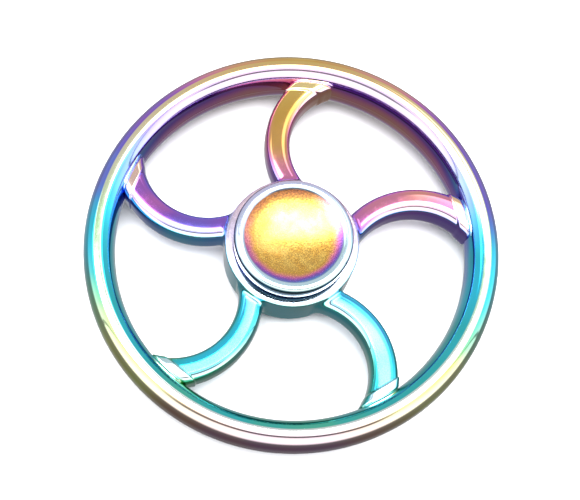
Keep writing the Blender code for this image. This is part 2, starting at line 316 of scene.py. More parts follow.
def overlap(a, b, size):
    return -join(-a, -b, size)


def rim_distance(p):
    """Distance from the rim, which has a faint parting line half way up."""
    z = p[:, 2]
    across = np.hypot(p[:, 0], p[:, 1]) - RIM_CENTRE
    body = oval(across, z, RIM_HALF_WIDTH, RIM_HALF_HEIGHT, RIM_SQUARENESS)
    return body - SEAM_HEIGHT * np.exp(-((z / SEAM_WIDTH) ** 2))


def spoke_offset(rho, theta):
    """Distance from a spoke's centre line, and the angle about its arc's centre."""
    fx = rho * np.cos(theta) - ARC_CENTRE[0]
    fy = rho * np.sin(theta) - ARC_CENTRE[1]
    middle = (ARC_HUB_DEG + ARC_RIM_DEG) / 2.0
    alpha = (np.degrees(np.arctan2(fy, fx)) - middle + 180.0) % 360.0 - 180.0 + middle
    return np.hypot(fx, fy) - ARC_RADIUS, alpha


def spoke_half_width(along):
    """Half the spoke's width, from 0 at the hub's end of its arc to 1 at the rim's end."""
    return (SPOKE_WIDTHS[0] + (SPOKE_WIDTHS[1] - SPOKE_WIDTHS[0]) * along) / 2.0


def spoke_distance(offset, alpha, z):
    along = np.clip((ARC_HUB_DEG - alpha) / (ARC_HUB_DEG - ARC_RIM_DEG), 0.0, 1.0)
    body = oval(offset, z, spoke_half_width(along), SPOKE_HALF_HEIGHT, SPOKE_SQUARENESS)
    past_hub = np.radians(alpha - ARC_HUB_DEG) * (offset + ARC_RADIUS)
    past_rim = np.radians(ARC_RIM_DEG - alpha) * (offset + ARC_RADIUS)
    return np.maximum(body, np.maximum(past_hub, past_rim))


def pad_distance(rho, offset, alpha, z):
    groove = PAD_GROOVE_DEPTH * np.exp(-(((rho - PAD_GROOVE_RADIUS) / PAD_GROOVE_WIDTH) ** 2))
    block = oval(offset, z, PAD_HALF_WIDTH, PAD_HALF_HEIGHT, PAD_SQUARENESS) + groove
    pad = overlap(PAD_INNER - rho, block, PAD_ROUNDING)
    pad = overlap(pad, rho - PAD_OUTER, PAD_ROUNDING)
    return np.maximum(pad, np.radians(PAD_LAST_DEG - alpha) * ARC_RADIUS)


def hub_distance(rho, z):
    across = rho - (HUB_RADIUS - HUB_EDGE)
    above = np.abs(z) - (HUB_HALF_HEIGHT - HUB_EDGE)
    outside = np.hypot(np.maximum(across, 0.0), np.maximum(above, 0.0))
    return outside + np.minimum(np.maximum(across, above), 0.0) - HUB_EDGE


def web_distance(p):
    """Distance from the hub, the spokes and their foot pads, before the seat is cut."""
    z = p[:, 2]
    rho = np.hypot(p[:, 0], p[:, 1])
    sector = TURN / SPOKES
    middle = math.radians(SECTOR_MIDDLE_DEG)
    theta = (np.arctan2(p[:, 1], p[:, 0]) - middle + sector / 2.0) % sector - sector / 2.0 + middle
    offset, alpha = spoke_offset(rho, theta)
    web = join(spoke_distance(offset, alpha, z), hub_distance(rho, z), HUB_FILLET)
    return join(web, pad_distance(rho, offset, alpha, z), PAD_FILLET)


def gradient(distance, p, step=0.004):
    """The direction in which a distance grows, by central differences."""
    g = np.empty_like(p)
    for axis in range(3):
        shift = np.zeros(3)
        shift[axis] = step
        g[:, axis] = (distance(p + shift) - distance(p - shift)) / (2.0 * step)
    return g


def settle(distance, p, rounds=6):
    """Move points onto a surface along its gradient."""
    for _ in range(rounds):
        g = gradient(distance, p)
        size = np.maximum((g * g).sum(1), LEAST_STEEPNESS)
        move = g * (distance(p) / size)[:, None]
        length = np.maximum(np.linalg.norm(move, axis=1), NEAR_ZERO)
        p = p - move * np.minimum(1.0, LONGEST_MOVE / length)[:, None]
    return p


def read(items, attribute, width=1, kind=np.float32):
    """One attribute of all the items of a mesh, as rows of that width."""
    values = np.empty(len(items) * width, kind)
    items.foreach_get(attribute, values)
    return values.reshape(-1, width) if width > 1 else values


def coords(mesh):
    return read(mesh.vertices, "co", 3).astype(np.float64) / MM


def put_coords(mesh, p):
    mesh.vertices.foreach_set("co", (p * MM).astype(np.float32).ravel())
    mesh.update()


def relax(mesh, distance, rounds=4):
    """Even out a mesh's points while they stay on the surface, so that no face folds."""
    one, two = read(mesh.edges, "vertices", 2, np.int32).T
    here = np.concatenate((one, two))
    there = np.concatenate((two, one))
    size = len(mesh.vertices)
    count = np.bincount(here, minlength=size)[:, None]
    p = settle(distance, coords(mesh), 3)
    for _ in range(rounds):
        total = [np.bincount(here, p[there, axis], size) for axis in range(3)]
        p = settle(distance, np.stack(total, axis=1) / count, 2)
    put_coords(mesh, settle(distance, p, 3))


def oval_points(a, b, n, angles):
    """Points at those angles on an oval of half sizes a and b."""
    c, s = np.cos(angles), np.sin(angles)
    u = np.copysign(np.abs(c) ** (2.0 / n), c) * a
    z = np.copysign(np.abs(s) ** (2.0 / n), s) * b
    return list(zip(u, z))


def make_rim():
    """The rim as a turned ring, with closer points round its parting line."""
    quarter = list(np.linspace(0.0, TURN / 4.0, 16))
    for z in SEAM_POINTS:
        quarter.append(math.asin((z / RIM_HALF_HEIGHT) ** (RIM_SQUARENESS / 2.0)))
    quarters = ((0.0, 1), (TURN / 2.0, -1), (TURN / 2.0, 1), (TURN, -1))
    angles = sorted({round(start + way * a, 9) for a in quarter for start, way in quarters})
    section = oval_points(RIM_HALF_WIDTH, RIM_HALF_HEIGHT, RIM_SQUARENESS, np.array(angles[:-1]))
    points = settle(rim_distance, np.array([(RIM_CENTRE + u, 0.0, z) for u, z in section]))
    return turned("wheel_casting", [(r, z) for r, _, z in points], RIM_SEGMENTS)


def edge_angle(radius, offset):
    """Angle at which the line beside a spoke's centre line crosses a radius of the wheel."""
    cx, cy = ARC_CENTRE
    distance = math.hypot(cx, cy)
    rho = ARC_RADIUS + offset
    cosine = (radius**2 - distance**2 - rho**2) / (2.0 * rho * distance)
    a = math.atan2(cy, cx) + math.acos(cosine)
    return math.atan2(cy + rho * math.sin(a), cx + rho * math.cos(a))


def spoke_loops():
    """Sections of the spoke nearest to +X, from inside the hub to inside the rim."""
    cx, cy = ARC_CENTRE
    angles = np.arange(24) * TURN / 24
    loops = []
    for along in np.linspace(0.0, 1.0, 31):
        a = math.radians(ARC_HUB_DEG + (ARC_RIM_DEG - ARC_HUB_DEG) * along)
        outline = oval_points(spoke_half_width(along), SPOKE_HALF_HEIGHT, SPOKE_SQUARENESS, angles)
        reach = [(ARC_RADIUS + u, z) for u, z in outline]
        loops.append([(cx + r * math.cos(a), cy + r * math.sin(a), z) for r, z in reach])
    return loops


def pad_loops():
    """Flat-topped sections of the same spoke's foot pad, at growing radii of the wheel."""
    loops = []
    for radius in np.linspace(PAD_INNER, PAD_OUTER, 9):
        low = edge_angle(radius, -PAD_HALF_WIDTH)
        high = edge_angle(radius, PAD_HALF_WIDTH)
        row = [(radius * math.cos(a), radius * math.sin(a)) for a in np.linspace(low, high, 9)]
        upper = [(x, y, PAD_HALF_HEIGHT) for x, y in row]
        lower = [(x, y, -PAD_HALF_HEIGHT) for x, y in reversed(row)]
        loops.append(upper + lower)
    return loops


def make_web():
    """Hub, spokes and pads fused into one even mesh that lies on their smooth surface."""
    bm = bmesh.new()
    inset = 0.05
    radius = (HUB_RADIUS - inset) * MM
    depth = 2.0 * (HUB_HALF_HEIGHT - inset) * MM
    bmesh.ops.create_cone(bm, cap_ends=True, segments=96, radius1=radius, radius2=radius, depth=depth)
    for k in range(SPOKES):
        turn = Matrix.Rotation(TURN * k / SPOKES, 4, "Z")
        for loops in (spoke_loops(), pad_loops()):
            tube(bm, [[turn @ Vector(p) for p in loop] for loop in loops])
    web = finished("web", bm)
    mod = web.modifiers.new("remesh", "REMESH")
    mod.mode = "VOXEL"
    mod.voxel_size = VOXEL * MM
    applied(web)
    drop_crumbs(web)
    relax(web.data, web_distance)
    return web


def drop_crumbs(obj):
    """Keep only the largest connected part of a mesh."""
    bm = bmesh.new()
    bm.from_mesh(obj.data)
    reached = set()
    parts = []
    for start in bm.verts:
        if start.index in reached:
            continue
        reached.add(start.index)
        part = [start]
        for vert in part:
            for edge in vert.link_edges:
                other = edge.other_vert(vert)
                if other.index not in reached:
                    reached.add(other.index)
                    part.append(other)
        parts.append(part)
    parts.sort(key=len)
    crumbs = [vert for part in parts[:-1] for vert in part]
    bmesh.ops.delete(bm, geom=crumbs, context="VERTS")
    bm.to_mesh(obj.data)
    bm.free()


def refine_feet(obj):
    """Finer faces round the foot pads, whose steps and grooves are small."""
    bm = bmesh.new()
    bm.from_mesh(obj.data)
    chosen = []
    for face in bm.faces:
        reach = face.calc_center_median().xy.length / MM
        if FINE_FROM < reach < FINE_TO:
            chosen.append(face)
    edges = list({e for f in chosen for e in f.edges})
    bmesh.ops.subdivide_edges(bm, edges=edges, cuts=1, use_grid_fill=True)
    bm.to_mesh(obj.data)
    bm.free()
    relax(obj.data, web_distance, 2)


def set_wheel_normals(obj):
    """Exact surface normals, so that the polish reflects without ripples."""
    mesh = obj.data
    p = coords(mesh)
    mesh.shade_smooth()
    loops = read(mesh.loops, "vertex_index", kind=np.int32)
    totals = read(mesh.polygons, "loop_total", kind=np.int32)
    centres = read(mesh.polygons, "center", 3).astype(np.float64) / MM
    normals = read(mesh.polygons, "normal", 3)
    in_seat = np.hypot(centres[:, 0], centres[:, 1]) < SEAT_RADIUS + 0.01
    in_seat &= np.abs(centres[:, 2]) < HUB_HALF_HEIGHT - 0.01
    on_rim = np.abs(rim_distance(centres)) < np.abs(web_distance(centres))
    face_of_loop = np.repeat(np.arange(len(totals)), totals)
    out = np.empty((len(loops), 3))
    for distance, mine in ((rim_distance, on_rim), (web_distance, ~on_rim)):
        g = gradient(distance, p)
        g /= np.maximum(np.linalg.norm(g, axis=1), NEAR_ZERO)[:, None]
        chosen = mine[face_of_loop]
        out[chosen] = g[loops[chosen]]
    cut = in_seat[face_of_loop]
    out[cut] = normals[face_of_loop[cut]]
    mesh.normals_split_custom_set([tuple(n) for n in out])


def cut_or_fuse(obj, operation, other):
    """Apply an exact boolean with the other object, which is then deleted."""
    mod = obj.modifiers.new(operation.lower(), "BOOLEAN")
    mod.operation = operation
    mod.solver = "EXACT"
    mod.object = other
    name = obj.data.name
    applied(obj)
    obj.data.name = name
    bpy.data.objects.remove(other)


def make_wheel():
    web = make_web()
    refine_feet(web)
    seat_floor = -BEARING_HALF - SEAT_GAP
    beyond = HUB_HALF_HEIGHT + 1.0
    seat = [
        (0.0, -beyond),
        (SHOULDER_RADIUS, -beyond),
        (SHOULDER_RADIUS, seat_floor),
        (SEAT_RADIUS, seat_floor),
        (SEAT_RADIUS, beyond),
        (0.0, beyond),
    ]
    cut_or_fuse(web, "DIFFERENCE", turned("seat_cutter", seat))
    wheel = make_rim()
    cut_or_fuse(wheel, "UNION", web)
    set_wheel_normals(wheel)
    return wheel


# ---------------------------------------------------------------- caps and bearing


def cap_profile():
    """The finger cap's outline from the dish's middle to the end of its stem."""
    low = DISH_EDGE - DISH_DEPTH
    sphere = (DISH_RADIUS**2 + DISH_DEPTH**2) / (2.0 * DISH_DEPTH)
    radii = np.linspace(0.0, DISH_RADIUS, 29)
    dish = [(r, low + sphere - math.sqrt(sphere**2 - r**2)) for r in radii]
    slope = arc((LIP_TOP_RADIUS, CAP_TOP - LIP_SLOPE_ROUNDING), LIP_SLOPE_ROUNDING, 119.0, 90.0, 9)
    lip = arc((CAP_RADIUS - LIP_ROUNDING, CAP_TOP - LIP_ROUNDING), LIP_ROUNDING, 90.0, 0.0, 12)
    boss_end = BEARING_HALF + BOSS_GAP
    edge, bend = CAP_LOWER_ROUNDING
    side = [
        (CAP_RADIUS, CAP_UNDERSIDE + edge),
        (CAP_RADIUS - bend, CAP_UNDERSIDE + bend),
        (CAP_RADIUS - edge, CAP_UNDERSIDE),
        (BOSS_RADIUS, CAP_UNDERSIDE),
        (BOSS_RADIUS, boss_end),
        (STEM_RADIUS, boss_end),
        (STEM_RADIUS, STEM_END + STEM_CHAMFER),
        (STEM_RADIUS - STEM_CHAMFER, STEM_END),
    ]
    return dish + slope + lip + side


def make_caps():
    """The upper cap has a hole in its stem, and the lower cap has the stud that fits it."""
    hole = [(HOLE_RADIUS, STEM_END), (HOLE_RADIUS, HOLE_TOP), (0.0, HOLE_TIP)]
    top = turned("cap_upper", cap_profile() + hole, CAP_SEGMENTS)
    stud = [
        (STUD_RADIUS, -STEM_END),
        (STUD_RADIUS, STUD_TOP - STUD_CHAMFER),
        (STUD_RADIUS - STUD_CHAMFER, STUD_TOP),
        (0.0, STUD_TOP),
    ]
    flipped = [(r, -z) for r, z in cap_profile()]
    bottom = turned("cap_lower", flipped + stud, CAP_SEGMENTS)
    return top, bottom


def groove_points(land):
    """The ball groove's arc, between the edges of a race's cylindrical land."""
    inward = 180.0 if land < PITCH_RADIUS else 0.0
    reach = math.degrees(math.acos(abs(land - PITCH_RADIUS) / GROOVE_RADIUS))
    return arc((PITCH_RADIUS, 0.0), GROOVE_RADIUS, inward + reach, inward - reach, 14)


def make_races():
    half = BEARING_HALF
    shell = rounded(
        [
            (OUTER_LAND, -COUNTERBORE_FLOOR, 0.05),
            (COUNTERBORE_RADIUS, -COUNTERBORE_FLOOR, 0.0),
            (COUNTERBORE_RADIUS, -half, 0.05),
            (OUTER_RADIUS, -half, 0.15),
            (OUTER_RADIUS, half, 0.15),
            (COUNTERBORE_RADIUS, half, 0.05),
            (COUNTERBORE_RADIUS, COUNTERBORE_FLOOR, 0.0),
            (OUTER_LAND, COUNTERBORE_FLOOR, 0.05),
        ]
    )
    core = rounded(
        [
            (INNER_LAND, half, 0.1),
            (BORE_RADIUS, half, 0.2),
            (BORE_RADIUS, -half, 0.2),
            (INNER_LAND, -half, 0.1),
        ]
    )
    outer = turned("outer_ring", shell + groove_points(OUTER_LAND))
    inner = turned("inner_ring", core + groove_points(INNER_LAND))
    return outer, inner


def make_ball(number):
    angle = TURN * (number - 0.5) / BALLS
    bm = bmesh.new()
    bmesh.ops.create_icosphere(bm, subdivisions=5, radius=BALL_RADIUS * MM)
    ball = finished("steel_ball_%02d" % number, bm, 60.0)
    ball.location = Vector((math.cos(angle), math.sin(angle), 0.0)) * (PITCH_RADIUS * MM)
    return ball


def make_cage():
    """A crown ring with a round pocket for each ball, open at the top."""
    corners = [
        (CAGE_INNER, CAGE_LOW, 0.08),
        (CAGE_OUTER, CAGE_LOW, 0.08),
        (CAGE_OUTER, CAGE_HIGH, 0.06),
        (CAGE_INNER, CAGE_HIGH, 0.06),
    ]
    ring = turned("crown_cage", rounded(corners), 200)
    lie = Matrix.Rotation(TURN / 4.0, 4, "Y")
    out = Matrix.Translation((PITCH_RADIUS * MM, 0, 0))
    bm = bmesh.new()
    for i in range(BALLS):
        turn = Matrix.Rotation(TURN * (i + 0.5) / BALLS, 4, "Z")
        bmesh.ops.create_cone(
            bm,
            cap_ends=True,
            segments=40,
            radius1=POCKET_RADIUS * MM,
            radius2=POCKET_RADIUS * MM,
            depth=2.0 * MM,
            matrix=turn @ out @ lie,
        )
    cut_or_fuse(ring, "DIFFERENCE", finished("pocket_cutter", bm))
    ring.data.set_sharp_from_angle(angle=math.radians(SHARP_DEG))
    return ring


def make_shield(name, side):
    low, rise, sheet = SHIELD_LOW, SHIELD_RISE, SHIELD_SHEET
    end, bend = 0.03, SHIELD_ROUNDING
    profile = rounded(
        [
            (SHIELD_BORE, low, end),
            (SHIELD_STEP - 0.08, low, bend),
            (SHIELD_STEP, low + rise, bend),
            (SHIELD_RADIUS, low + rise, end),
            (SHIELD_RADIUS, low + rise + sheet, end),
            (SHIELD_STEP - 0.06, low + rise + sheet, bend),
            (SHIELD_STEP - 0.14, low + sheet, bend),
            (SHIELD_BORE, low + sheet, end),
        ],
        3,
    )
    return turned(name, [(r, side * z) for r, z in profile])


def make_snap_ring(name, side):
    low, high = SNAP_RING_LOW, SNAP_RING_LOW + SNAP_RING_SHEET
    inner, outer, edge = SNAP_RING_BORE, SHIELD_RADIUS, 0.04
    corners = [(inner, low, edge), (outer, low, edge), (outer, high, edge), (inner, high, edge)]
    section = rounded(corners, 2)
    gap = math.radians(SNAP_RING_GAP_DEG)
    steps = 150
    loops = []
    for i in range(steps + 1):
        a = gap / 2.0 + (TURN - gap) * i / steps
        loops.append([(r * math.cos(a), r * math.sin(a), side * z) for r, z in section])
    bm = bmesh.new()
    tube(bm, loops)
    return finished(name, bm)


# ---------------------------------------------------------------- materials


def srgb(r, g, b):
    """A display colour, 0 to 255, as the linear colour a shader takes."""
    out = []
    for c in (r, g, b):
        c /= 255.0
        out.append(c / 12.92 if c <= 0.04045 else ((c + 0.055) / 1.055) ** 2.4)
    return (*out, 1.0)


class Graph:
    """Short calls for building the nodes of a material or a world."""

    def __init__(self, owner):
        owner.use_nodes = True
        self.owner = owner
        self.tree = owner.node_tree

    def node(self, kind, values=None, **settings):
        made = self.tree.nodes.new(kind)
        for key, value in settings.items():
            setattr(made, key, value)
        for key, value in (values or {}).items():
            self.set(made.inputs[key], value)
        return made

    def set(self, socket, value):
        if isinstance(value, bpy.types.NodeSocket):
            self.tree.links.new(value, socket)
        else:
            socket.default_value = value

    def math(self, operation, *values, clamp=False):
        made = self.node("ShaderNodeMath", operation=operation, use_clamp=clamp)
        for i, value in enumerate(values):
            self.set(made.inputs[i], value)
        return made.outputs[0]

    def add(self, first, *rest):
        for term in rest:
            first = self.math("ADD", first, term)
        return first

    def times(self, first, *rest):
        for factor in rest:
            first = self.math("MULTIPLY", first, factor)
        return first

    def smooth(self, value, low, high, out_low=0.0, out_high=1.0):
        made = self.node("ShaderNodeMapRange", interpolation_type="SMOOTHSTEP")
        for key, item in enumerate((value, low, high, out_low, out_high)):
            self.set(made.inputs[key], item)
        return made.outputs[0]

    def fall(self, value, low, high):
        return self.smooth(value, low, high, 1.0, 0.0)

    def noise(self, vector, scale, detail=2.0, roughness=0.5, low=0.0, high=1.0):
        settings = {"Vector": vector, "Scale": scale, "Detail": detail, "Roughness": roughness}
        made = self.node("ShaderNodeTexNoise", settings)
        if (low, high) == (0.0, 1.0):
            return made.outputs["Fac"]
        return self.smooth(made.outputs["Fac"], 0.3, 0.7, low, high)

    def mix(self, factor, one, two, blend="MIX"):
        made = self.node("ShaderNodeMix", data_type="RGBA", blend_type=blend)
        self.set(made.inputs[0], factor)
        self.set(made.inputs[6], one)
        self.set(made.inputs[7], two)
        return made.outputs[2]

    def ramp(self, value, stops, interpolation="B_SPLINE"):
        made = self.node("ShaderNodeValToRGB", {"Fac": value})
        made.color_ramp.interpolation = interpolation
        elements = made.color_ramp.elements
        while len(elements) > 1:
            elements.remove(elements[-1])
        elements[0].position, elements[0].color = stops[0]
        for position, colour in stops[1:]:
            elements.new(position).color = colour
        return made.outputs["Color"]

    def curve(self, value, points):
        """A number read off a line through points whose inputs lie between -1 and 1."""
        stops = [((x + 1.0) / 2.0, ((y + 1.0) / 3.0,) * 3 + (1.0,)) for x, y in points]
        grey = self.ramp(self.math("MULTIPLY_ADD", value, 0.5, 0.5), stops, "EASE")
        level = self.node("ShaderNodeSeparateColor", {"Color": grey}).outputs["Red"]
        return self.math("MULTIPLY_ADD", level, 3.0, -1.0)

    def blend(self, factor, one, two):
        """A number between two numbers."""
        return self.node("ShaderNodeMix", {0: factor, 2: one, 3: two}).outputs[0]

    def parts(self, vector):
        return self.node("ShaderNodeSeparateXYZ", {"Vector": vector}).outputs

    def radius(self, p):
        """Distance from the spin axis."""
        return self.math("SQRT", self.add(self.times(p[0], p[0]), self.times(p[1], p[1])))

    def bump(self, height, strength, distance, normal=None):
        made = self.node("ShaderNodeBump", {"Height": height, "Strength": strength, "Distance": distance})
        if normal is not None:
            self.set(made.inputs["Normal"], normal)
        return made.outputs["Normal"]

    def finish(self, **values):
        shader = self.tree.nodes["Principled BSDF"]
        for key, value in values.items():
            self.set(shader.inputs[key.replace("_", " ")], value)
        return self.owner


def material_graph(name):
    """A new material's graph and the object's own coordinates in it."""
    g = Graph(bpy.data.materials.new(name))
    return g, g.node("ShaderNodeTexCoord").outputs


# The coating gets thinner toward this side of the wheel.
DRIFT_DIRECTION = (0.09, 0.996)

# Interference colours in the order they come as the coating gets thicker.
FILM_START, FILM_END = -0.2, 1.4
FILM = [
    (-0.20, srgb(232, 222, 176)),
    (-0.08, srgb(226, 196, 104)),
    (0.02, srgb(204, 158, 62)),
    (0.10, srgb(214, 150, 104)),
    (0.18, srgb(212, 128, 146)),
    (0.26, srgb(188, 98, 176)),
    (0.35, srgb(136, 80, 190)),
    (0.45, srgb(106, 98, 208)),
    (0.55, srgb(74, 146, 224)),
    (0.66, srgb(14, 196, 226)),
    (0.78, srgb(18, 176, 176)),
    (0.90, srgb(92, 184, 122)),
    (1.00, srgb(196, 206, 84)),
    (1.10, srgb(176, 158, 66)),
    (1.20, srgb(150, 96, 66)),
    (1.30, srgb(128, 62, 112)),
    (1.40, srgb(96, 50, 116)),
]

# The coating's thickness on each kind of surface, from the near to the far side of the
# wheel, and the painted highlight on the rim's top.
OUTER_WALL = [
    (-1.0, 1.30),
    (-0.7, 1.02),
    (0.0, 0.67),
    (0.3, 0.46),
    (0.68, 0.35),
    (0.86, 0.14),
    (1.0, -0.02),
]
INNER_WALL = [(-0.85, 0.80), (-0.6, 0.76), (0.0, 0.68), (0.35, 0.54), (0.6, 0.40), (0.85, 0.30)]
WEB = [
    (-0.85, 0.70),
    (-0.5, 0.65),
    (-0.2, 0.58),
    (0.0, 0.40),
    (0.18, 0.26),
    (0.35, 0.19),
    (0.55, 0.06),
    (0.85, -0.02),
]
CROWN_PAINTED_HIGHLIGHT = [
    (0.0, srgb(240, 232, 236)),
    (0.25, srgb(236, 240, 226)),
    (0.5, srgb(205, 238, 172)),
    (0.68, srgb(232, 226, 176)),
    (0.9, srgb(224, 200, 128)),
    (1.0, srgb(206, 170, 90)),
]

# Painted highlights: pale colours mixed into the faces toward the near side, the hub's top and the feet's
# tops.
PALE_PAINTED_HIGHLIGHT = srgb(244, 238, 232)
FOOT_PAINTED_HIGHLIGHT_NEAR = srgb(236, 240, 240)
FOOT_PAINTED_HIGHLIGHT_FAR = srgb(240, 220, 160)

# The caps: the frosted dish's tint and its painted shade toward its far edge, the lip's painted
# highlight, and the painted shade on the outer wall.
DISH_DIM = (0.96, 0.90, 0.78, 1.0)
DISH_FAR_PAINTED_SHADE = (0.42, 0.24, 0.16, 1.0)
LIP_PAINTED_HIGHLIGHT = srgb(240, 240, 244)
WALL_SHADE = (0.012, 0.010, 0.020, 1.0)
DISH_FACING = (0.35, -0.94)


def film_colour(g, phase):
    """The interference colour of a coating of that thickness."""
    span = FILM_END - FILM_START
    value = g.math("DIVIDE", g.math("SUBTRACT", phase, FILM_START), span, clamp=True)
    return g.ramp(value, [((p - FILM_START) / span, c) for p, c in FILM], "LINEAR")


def rainbow_metal():
    """Polished casting under a coating whose thickness drifts across the wheel, with painted highlights
    mixed into its colour.
    """
    g, where = material_graph("rainbow_coating")
    p = g.parts(where["Object"])
    n = g.parts(where["Normal"])
    radius = g.radius(p)
    level = g.math("ABSOLUTE", n[2])
    dx, dy = DRIFT_DIRECTION
    across = g.add(g.times(p[0], dx / (RIM_RADIUS * MM)), g.times(p[1], dy / (RIM_RADIUS * MM)))
    facing = g.add(g.times(n[0], dx), g.times(n[1], dy))

    # Thickness: the rim's two sides differ, and the web has its own.
    outward = g.add(g.times(p[0], n[0]), g.times(p[1], n[1]))
    outward = g.smooth(g.math("DIVIDE", outward, radius), -0.15, 0.15)
    side = g.blend(outward, g.curve(across, INNER_WALL), g.curve(across, OUTER_WALL))
    web = g.add(
        g.curve(across, WEB),
        g.smooth(g.math("SUBTRACT", 1.0, level), 0.0, 0.3, 0.0, 0.15),
        g.times(p[0], -0.06 / (RIM_RADIUS * MM)),
    )
    on_side = g.smooth(radius, (RIM_INNER - 0.1) * MM, (RIM_INNER + 0.3) * MM)
    wander = g.noise(where["Object"], 140.0, 1.0, 0.4, -0.035, 0.035)
    colour = film_colour(g, g.add(g.blend(on_side, web, side), wander))

    # Painted highlights: the rim's top, the faces that lean to the near side, the hub and the feet are
    # mixed toward pale colours where the lamp and window would reflect.
    on_rim = g.smooth(radius, (RIM_INNER + 0.1) * MM, (RIM_INNER + 0.6) * MM)
    crown = g.times(on_rim, g.smooth(level, 0.955, 0.985), 0.85)
    crown_highlight = g.ramp(g.math("MULTIPLY_ADD", across, 0.5, 0.5), CROWN_PAINTED_HIGHLIGHT, "LINEAR")
    colour = g.mix(crown, colour, crown_highlight)
    # Painted highlight on faces that lean to the near side and on the hub's top.
    front = g.times(g.fall(facing, -0.55, -0.05), g.smooth(level, 0.25, 0.75), 0.55)
    hub = g.fall(radius, (HUB_RADIUS - 0.05) * MM, (HUB_RADIUS + 0.3) * MM)
    hub = g.times(hub, g.smooth(level, 0.25, 0.6), 0.6)
    colour = g.mix(g.math("MAXIMUM", front, hub), colour, PALE_PAINTED_HIGHLIGHT)
    # Painted highlight on the feet's tops, whiter on the near side and gold on the far side.
    foot = g.times(
        g.smooth(radius, (PAD_INNER - 0.2) * MM, PAD_INNER * MM),
        g.fall(radius, RIM_INNER * MM, (RIM_INNER + 0.2) * MM),
        g.smooth(level, 0.80, 0.95),
        0.6,
    )
    colour = g.mix(foot, colour, g.mix(g.smooth(across, -0.2, 0.2), FOOT_PAINTED_HIGHLIGHT_NEAR, FOOT_PAINTED_HIGHLIGHT_FAR))

    # Polishing leaves a slow ripple and hair-fine scratches.
    ripple = g.noise(where["Object"], 420.0, 1.0, 0.4)
    stretch = {"Vector": where["Object"], "Scale": (1.0, 1.0, 9.0)}
    scratches = g.noise(g.node("ShaderNodeMapping", stretch).outputs[0], 5200.0, 3.0, 0.7)
    normal = g.bump(scratches, 0.04, 0.00001, g.bump(ripple, 0.12, 0.00005))
    return g.finish(
        Base_Color=colour,
        Metallic=1.0,
        Roughness=g.add(0.055, g.noise(where["Object"], 900.0, 3.0, 0.6, 0.0, 0.06)),
        Normal=normal,
        Coat_Weight=1.0,
        Coat_Roughness=0.04,
        Coat_IOR=1.5,
    )


def cap_metal():
    """Finger cap: a fine blasted dish inside a polished lip, both coated, with painted highlight and
    painted shade in their colour.
    """
    g, where = material_graph("cap_coating")
    p = g.parts(where["Object"])
    n = g.parts(where["Normal"])
    share = g.math("DIVIDE", g.radius(p), DISH_RADIUS * MM)
    height = g.math("ABSOLUTE", p[2])
    fx, fy = DISH_FACING
    toward = g.add(g.times(p[0], fx / (DISH_RADIUS * MM)), g.times(p[1], fy / (DISH_RADIUS * MM)))
    above_stem = g.smooth(height, (CAP_UNDERSIDE + 0.4) * MM, (CAP_UNDERSIDE + 0.5) * MM)
    dish = g.times(g.fall(share, 0.985, 1.01), above_stem)

    # The dish: gold, turning toward the next colours of the film near its edge.
    lean = g.times(g.smooth(share, 0.74, 1.04), g.add(0.30, g.times(toward, 0.27)))
    mottling = g.noise(where["Object"], 700.0, 2.0, 0.5, -0.03, 0.03)
    frosted = film_colour(g, g.add(-0.01, lean, mottling))
    # Painted shade: the dish darkens toward its far edge.
    far = g.times(g.smooth(share, 0.72, 0.98), g.fall(toward, -0.9, -0.3))
    frosted = g.mix(1.0, frosted, g.mix(far, DISH_DIM, DISH_FAR_PAINTED_SHADE), "MULTIPLY")
    # Blasted grain, whose specks grow stronger toward the far edge as part of that painted shade.
    speck = g.noise(where["Object"], 3800.0, 1.0, 0.5, -1.0, 1.0)
    away = g.math("MAXIMUM", g.times(toward, -1.0), 0.0)
    speck = g.math("MULTIPLY_ADD", speck, g.add(0.06, g.times(away, 0.25)), 1.0)
    frosted = g.mix(1.0, frosted, speck, "MULTIPLY")

    # The lip is polished, and its colour is mixed toward white as a painted highlight. The wall below it
    # is painted dark, as painted shade of the gap over the hub.
    lip_film = film_colour(g, g.add(0.62, g.times(n[1], -0.2), g.times(toward, 0.12)))
    polished = g.mix(0.62, lip_film, LIP_PAINTED_HIGHLIGHT)
    wall = g.mix(0.93, film_colour(g, g.add(0.48, g.times(n[1], -0.2))), WALL_SHADE)
    on_lip = g.smooth(height, (CAP_TOP - 0.3) * MM, (CAP_TOP - 0.08) * MM)
    upper = g.math("MAXIMUM", on_lip, dish)
    polished = g.mix(upper, wall, polished)

    grain = g.node("ShaderNodeTexVoronoi", {"Vector": where["Object"], "Scale": 3400.0})
    rough = g.add(0.25, g.noise(where["Object"], 3000.0, 2.0, 0.6, -0.04, 0.06))
    plain = g.add(0.07, g.noise(where["Object"], 900.0, 3.0, 0.6, 0.0, 0.05))
    return g.finish(
        Base_Color=g.mix(dish, polished, frosted),
        Metallic=1.0,
        Roughness=g.blend(dish, plain, rough),
        Normal=g.bump(grain.outputs["Distance"], g.times(dish, 0.28), 0.00004),
        Coat_Weight=upper,
        Coat_Roughness=0.18,
        Coat_IOR=1.5,
    )


def turned_steel(name, colour, roughness, lines):
    """Ground or pressed steel with fine marks that run round the axis."""
    g, where = material_graph(name)
    p = g.parts(where["Object"])
    along = g.node("ShaderNodeCombineXYZ", {"X": g.radius(p), "Y": p[2]}).outputs[0]
    rings = g.noise(along, lines, 4.0, 0.75)
    blotch = g.noise(where["Object"], 900.0, 3.0, 0.6)
    tint = g.mix(g.times(blotch, 0.5), srgb(*colour), srgb(*[c * 0.72 for c in colour]))
    normal = g.bump(rings, 0.25, 0.00002)
    rough = g.add(roughness, g.times(rings, 0.12))
    return g.finish(Base_Color=tint, Metallic=1.0, Roughness=rough, Normal=normal)


